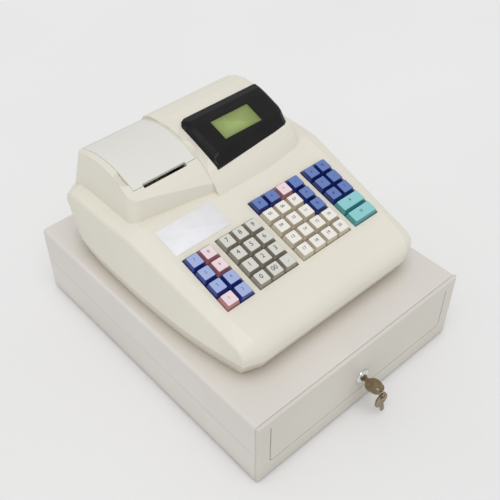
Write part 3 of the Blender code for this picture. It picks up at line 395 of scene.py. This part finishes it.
# Each style: top colour, the deeper colour painted on the sloping sides as shade, roughness.
KEY_LOOKS = {
    "blue_light": ((160, 177, 222), (34, 54, 132), 0.22),
    "blue": ((96, 122, 186), (28, 46, 118), 0.2),
    "pink": ((236, 216, 221), (176, 120, 126), 0.2),
    "grey": ((214, 213, 206), (150, 144, 131), 0.3),
    "white": ((237, 234, 227), (199, 190, 170), 0.25),
    "teal": ((140, 203, 207), (74, 150, 154), 0.22),
}


def key_style(node):
    slot = next(part["material_slot"] for part in frame["record"]["subparts"] if part["node"] == node)
    return "blue_light" if slot == "blue" and node.startswith("key_dept") else slot


def build_cap(node, looks):
    """A keytop with rounded corners, a soft rim and a slightly dished top."""
    spans = deck_frame(node)
    half_x = (spans[0][1] - spans[0][0]) / 2
    half_y = (spans[1][1] - spans[1][0]) / 2
    top = spans[2][1]
    place = key_matrix(spans, top)
    slope = half_y - CAP_TOP / 2
    rim_start = slope - CAP_RIM * CAP_RIM_START_SHARE
    sides = ((0, CAP_SIDE_CORNER, -CAP_SKIRT - CAP_RISE),
             (0, CAP_SIDE_CORNER, -CAP_RISE - CAP_LEDGE_LOW),
             (CAP_LEDGE, CAP_SIDE_CORNER, -CAP_RISE + CAP_LEDGE_HIGH),
             (rim_start, CAP_CORNER, -CAP_RIM_DROP))
    rings = [rounded_ring(half_x - inset, half_y - inset, radius, height, place)
             for inset, radius, height in sides]
    for step in range(1, CAP_RIM_STEPS + 1):
        turn = step / CAP_RIM_STEPS * pi / 2
        inset = rim_start + CAP_RIM * CAP_RIM_REACH_SHARE * (1 - cos(turn))
        rings.append(rounded_ring(half_x - inset, half_y - inset, CAP_CORNER - CAP_CORNER_STEP * step,
                                  CAP_RIM_DROP * (sin(turn) - 1), place))
    for share, drop in CAP_DISH_SHARES:
        rings.append(rounded_ring((half_x - slope) * share, (half_y - slope) * share, CAP_CORNER * share,
                                  -CAP_DISH * drop, place))
    cap = lofted(node.replace("key_", "cap_"), rings, looks[key_style(node)])
    split_edges(cap, CAP_SPLIT)
    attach(cap, node)
    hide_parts(node)
    return place


def legend(node, text, size, place, look):
    """A generic mark printed on a keytop."""
    curve = bpy.data.curves.new("legend", "FONT")
    curve.body = text
    curve.size = size
    curve.align_x = "CENTER"
    curve.align_y = "CENTER"
    curve.resolution_u = 3
    curve.extrude = LEGEND_THICKNESS
    made = bpy.data.objects.new("mark_" + node[4:], curve)
    bpy.context.scene.collection.objects.link(made)
    height = LEGEND_LIFT - CAP_DISH * LEGEND_DISH_SHARE
    made.matrix_world = place @ Matrix.Translation((*LEGEND_SHIFT, height))
    curve.materials.append(look)
    bpy.context.view_layer.update()
    mesh = bpy.data.meshes.new_from_object(made.evaluated_get(bpy.context.evaluated_depsgraph_get()))
    mesh.transform(made.matrix_world)
    bpy.data.objects.remove(made)
    flat = bpy.data.objects.new("mark_" + node[4:], mesh)
    bpy.context.scene.collection.objects.link(flat)
    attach(flat, node)
    return flat


DIGITS = {(0, 3): "7", (1, 3): "8", (2, 3): "9", (0, 2): "4", (1, 2): "5", (2, 2): "6",
          (0, 1): "1", (1, 1): "2", (2, 1): "3", (0, 0): "0", (1, 0): "00", (2, 0): "."}


def key_text(node):
    """(mark, size) for a keytop: digits on the number keys, small plain numbers and signs elsewhere."""
    block, column, row = node[4:].split("_")
    if block == "digit":
        return DIGITS[int(column), int(row)], DIGIT_SIZE
    if column == "wide":
        return ("=", "+")[int(row)], DIGIT_SIZE
    if block == "plu" and key_style(node) == "white":
        return "%02d" % ((4 - int(row)) * 4 + int(column) + 1), SMALL_SIZE
    signs = {"dept": "1234567890", "plu": "+-%#x", "func": "+-x%#/"}[block]
    return signs[(int(column) + 2 * int(row)) % len(signs)], SMALL_SIZE


def build_keys():
    looks = {name: keytop("key_" + name, *style) for name, style in KEY_LOOKS.items()}
    ink = plain("legend_ink", (58, 56, 62), 0.5)
    faint = plain("legend_faint", (120, 118, 140), 0.5)
    deep = plain("legend_deep", (34, 40, 84), 0.5)
    for node in sorted(name for name in nodes if name.startswith("key_")):
        place = build_cap(node, looks)
        text, size = key_text(node)
        style = key_style(node)
        look = {"blue": deep, "blue_light": faint, "pink": faint}.get(style, ink)
        legend(node, text, size, place, look)


def deck_plate():
    """The bare white plate on the deck."""
    spans = deck_frame("key_dept_0_0")
    deck_rise = spans[2][1] - KEY_PROUD
    centre = ACROSS * PLATE_X - PRESS * (deck_rise + PLATE_LIFT)
    centre += UP_DECK * (spans[1][0] + PLATE_CLIMB)
    place = Matrix.Translation(centre) @ Matrix((ACROSS, UP_DECK, -PRESS)).transposed().to_4x4()
    half_x, half_y = PLATE_SIZE[0] / 2, PLATE_SIZE[1] / 2
    rings = [rounded_ring(half_x, half_y, PLATE_CORNER, 0, place),
             rounded_ring(half_x, half_y, PLATE_CORNER, PLATE_THICKNESS * PLATE_SIDE_SHARE, place),
             rounded_ring(half_x - PLATE_BEVEL, half_y - PLATE_BEVEL, PLATE_CORNER, PLATE_THICKNESS, place)]
    white = plain("plate_white", (234, 234, 238), 0.35, (229, 229, 233), 60.0, 0.03)
    plate = lofted("deck_plate", rings, white)
    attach(plate, "housing")


def display_panel():
    """The display panel on the floor of the visor's window."""
    turn = Matrix.Rotation(PANEL_TILT, 4, "X")
    centre = Vector((PANEL_X, PANEL_Y, PANEL_Z)) - turn @ Vector((0, 0, PANEL_SINK))
    place = Matrix.Translation(centre) @ turn
    half_x, half_y = PANEL_SIZE[0] / 2, PANEL_SIZE[1] / 2
    rings = [rounded_ring(half_x, half_y, PANEL_CORNER, 0, place),
             rounded_ring(half_x, half_y, PANEL_CORNER, PANEL_THICKNESS, place)]
    panel = lofted("display_panel", rings, panel_green())
    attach(panel, "housing")


def turned(name, profile, start, look, sides=40):
    """A round piece about a line along X: profile points are (run, radius)."""
    rings = []
    for run, radius in profile:
        rings.append([Vector((start.x + run, start.y + radius * cos(2 * pi * side / sides),
                              start.z + radius * sin(2 * pi * side / sides))) for side in range(sides)])
    return lofted(name, rings, look)


def printer_inside():
    """Paper roll, its core and the platen roller."""
    low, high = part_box("printer_lid")
    middle = (low.x + high.x) / 2
    paper = plain("paper", (243, 242, 238), 0.7, (236, 234, 228), 400.0, 0.15)
    roll = Vector((middle - PAPER_WIDTH / 2, low.y + ROLL_SET_BACK, ROLL_Z))
    shoulder = ROLL_RADIUS - ROLL_SOFT_DROP
    profile = [(0, ROLL_BORE), (0, shoulder), (ROLL_SOFT_RUN, ROLL_RADIUS),
               (PAPER_WIDTH - ROLL_SOFT_RUN, ROLL_RADIUS), (PAPER_WIDTH, shoulder), (PAPER_WIDTH, ROLL_BORE)]
    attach(turned("paper_roll", profile, roll, paper), "housing")
    core = plain("card_core", (150, 128, 96), 0.8, (130, 108, 80))
    end = PAPER_WIDTH + CORE_PROUD
    profile = [(-CORE_PROUD, CORE_INSIDE), (-CORE_PROUD, CORE_OUTSIDE),
               (end, CORE_OUTSIDE), (end, CORE_INSIDE)]
    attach(turned("paper_core", profile, roll, core, 24), "housing")
    rubber = plain("platen_rubber", (44, 44, 46), 0.75, (36, 36, 38))
    platen = Vector((middle - PLATEN_WIDTH / 2, low.y + PLATEN_SET_BACK, PLATEN_Z))
    profile = [(0, PLATEN_BORE), (0, PLATEN_RADIUS),
               (PLATEN_WIDTH, PLATEN_RADIUS), (PLATEN_WIDTH, PLATEN_BORE)]
    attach(turned("platen_roller", profile, platen, rubber, 28), "housing")


def cutter_bar():
    """Toothed metal bar for tearing the paper, in front of the platen roller."""
    low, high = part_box("printer_lid")
    middle = (low.x + high.x) / 2
    start = middle - PAPER_WIDTH / 2
    pitch = PAPER_WIDTH / CUTTER_TEETH
    base = Vector((0, low.y + CUTTER_SET_BACK, high.z - CUTTER_SINK))
    outline = [(0, -CUTTER_HEIGHT), (PAPER_WIDTH, -CUTTER_HEIGHT)]
    for tooth in reversed(range(CUTTER_TEETH)):
        outline += [((tooth + 1) * pitch, 0), ((tooth + 0.5) * pitch, pitch * CUTTER_TOOTH_SHARE)]
    outline.append((0, 0))
    rings = [[base + Vector((start + x, y, z)) for x, z in outline] for y in (0, CUTTER_THICKNESS)]
    bar = lofted("cutter_bar", rings, metal("cutter_steel", (186, 188, 190), 0.25, 0.1))
    split_edges(bar, CUTTER_SPLIT)
    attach(bar, "housing")


def dress_nodes():
    # The second colour of each moulded and painted look is the painted shade in its corners.
    cream = moulded("case_cream", (228, 224, 211), (196, 187, 160), 0.42, 0.10)
    lid = moulded("lid_cream", (226, 225, 219), (198, 193, 172), 0.42, 0.10)
    steel = painted("drawer_paint", (222, 217, 211), (176, 164, 150), 0.42)
    front = moulded("front_plastic", (214, 210, 201), (160, 148, 124), 0.45, 0.08)
    tray = painted("tray_paint", (120, 120, 122), (80, 80, 82), 0.4)
    insert = moulded("insert_black", (46, 46, 48), (28, 28, 30), 0.5, 0.25)
    chrome = metal("lock_chrome", (225, 226, 228), 0.06, 0.02)
    brass = metal("key_metal", (158, 142, 112), 0.3, 0.12, (128, 112, 86))
    looks = {"upper_case": cream, "lower_case": cream, "printer_lid": lid, "drawer_cover": steel,
             "drawer_base": steel, "drawer_front": front, "drawer_tray": tray, "cash_insert": insert,
             "lock_barrel": chrome, "lock_key": brass, "spare_key": brass, "display_visor": visor_gloss()}
    for name, look in looks.items():
        node_look(name, look)


def stage():
    """Pale floor, even sky and a soft sun."""
    scene = bpy.context.scene
    world = bpy.data.worlds.new("studio")
    scene.world = world
    world.use_nodes = True
    sky = world.node_tree.nodes["Background"]
    sky.inputs["Color"].default_value = (1, 1, 1, 1)
    sky.inputs["Strength"].default_value = SKY_LEVEL
    sun = bpy.data.lights.new("sun", "SUN")
    sun.energy = SUN_LEVEL
    sun.angle = SUN_SPREAD
    sun_object = bpy.data.objects.new("sun", sun)
    sun_object.rotation_euler = SUN_TILT
    scene.collection.objects.link(sun_object)
    floor = Shader("floor", roughness=0.9)
    floor.colour(floor.ramp(floor.noise(1.5, 2.0), 0.3, 0.7, colour(FLOOR_COLOUR), colour(FLOOR_SHADE)))
    floor.shader.inputs["Specular IOR Level"].default_value = 0.0
    half = FLOOR_SIZE / 2
    made = mesh_object("floor", [(-half, -half, 0), (half, -half, 0), (half, half, 0), (-half, half, 0)],
                       [(0, 1, 2, 3)], floor.material, smooth=False)
    made.location.z = -FLOOR_SINK


def camera():
    data = bpy.data.cameras.new("camera")
    data.sensor_width = SENSOR
    data.lens = LENS
    made = bpy.data.objects.new("camera", data)
    bpy.context.scene.collection.objects.link(made)
    back = Vector((sin(CAMERA_AZIMUTH) * cos(CAMERA_ELEVATION), -cos(CAMERA_AZIMUTH) * cos(CAMERA_ELEVATION),
                   sin(CAMERA_ELEVATION)))
    turn = back.to_track_quat("Z", "Y").to_matrix().to_4x4()
    made.matrix_world = Matrix.Translation(CAMERA_PLACE) @ turn @ Matrix.Rotation(CAMERA_ROLL, 4, "Z")
    bpy.context.scene.camera = made


bpy.context.scene.view_settings.view_transform = "Standard"
stage()
camera()
dress_nodes()
build_keys()
deck_plate()
display_panel()
printer_inside()
cutter_bar()
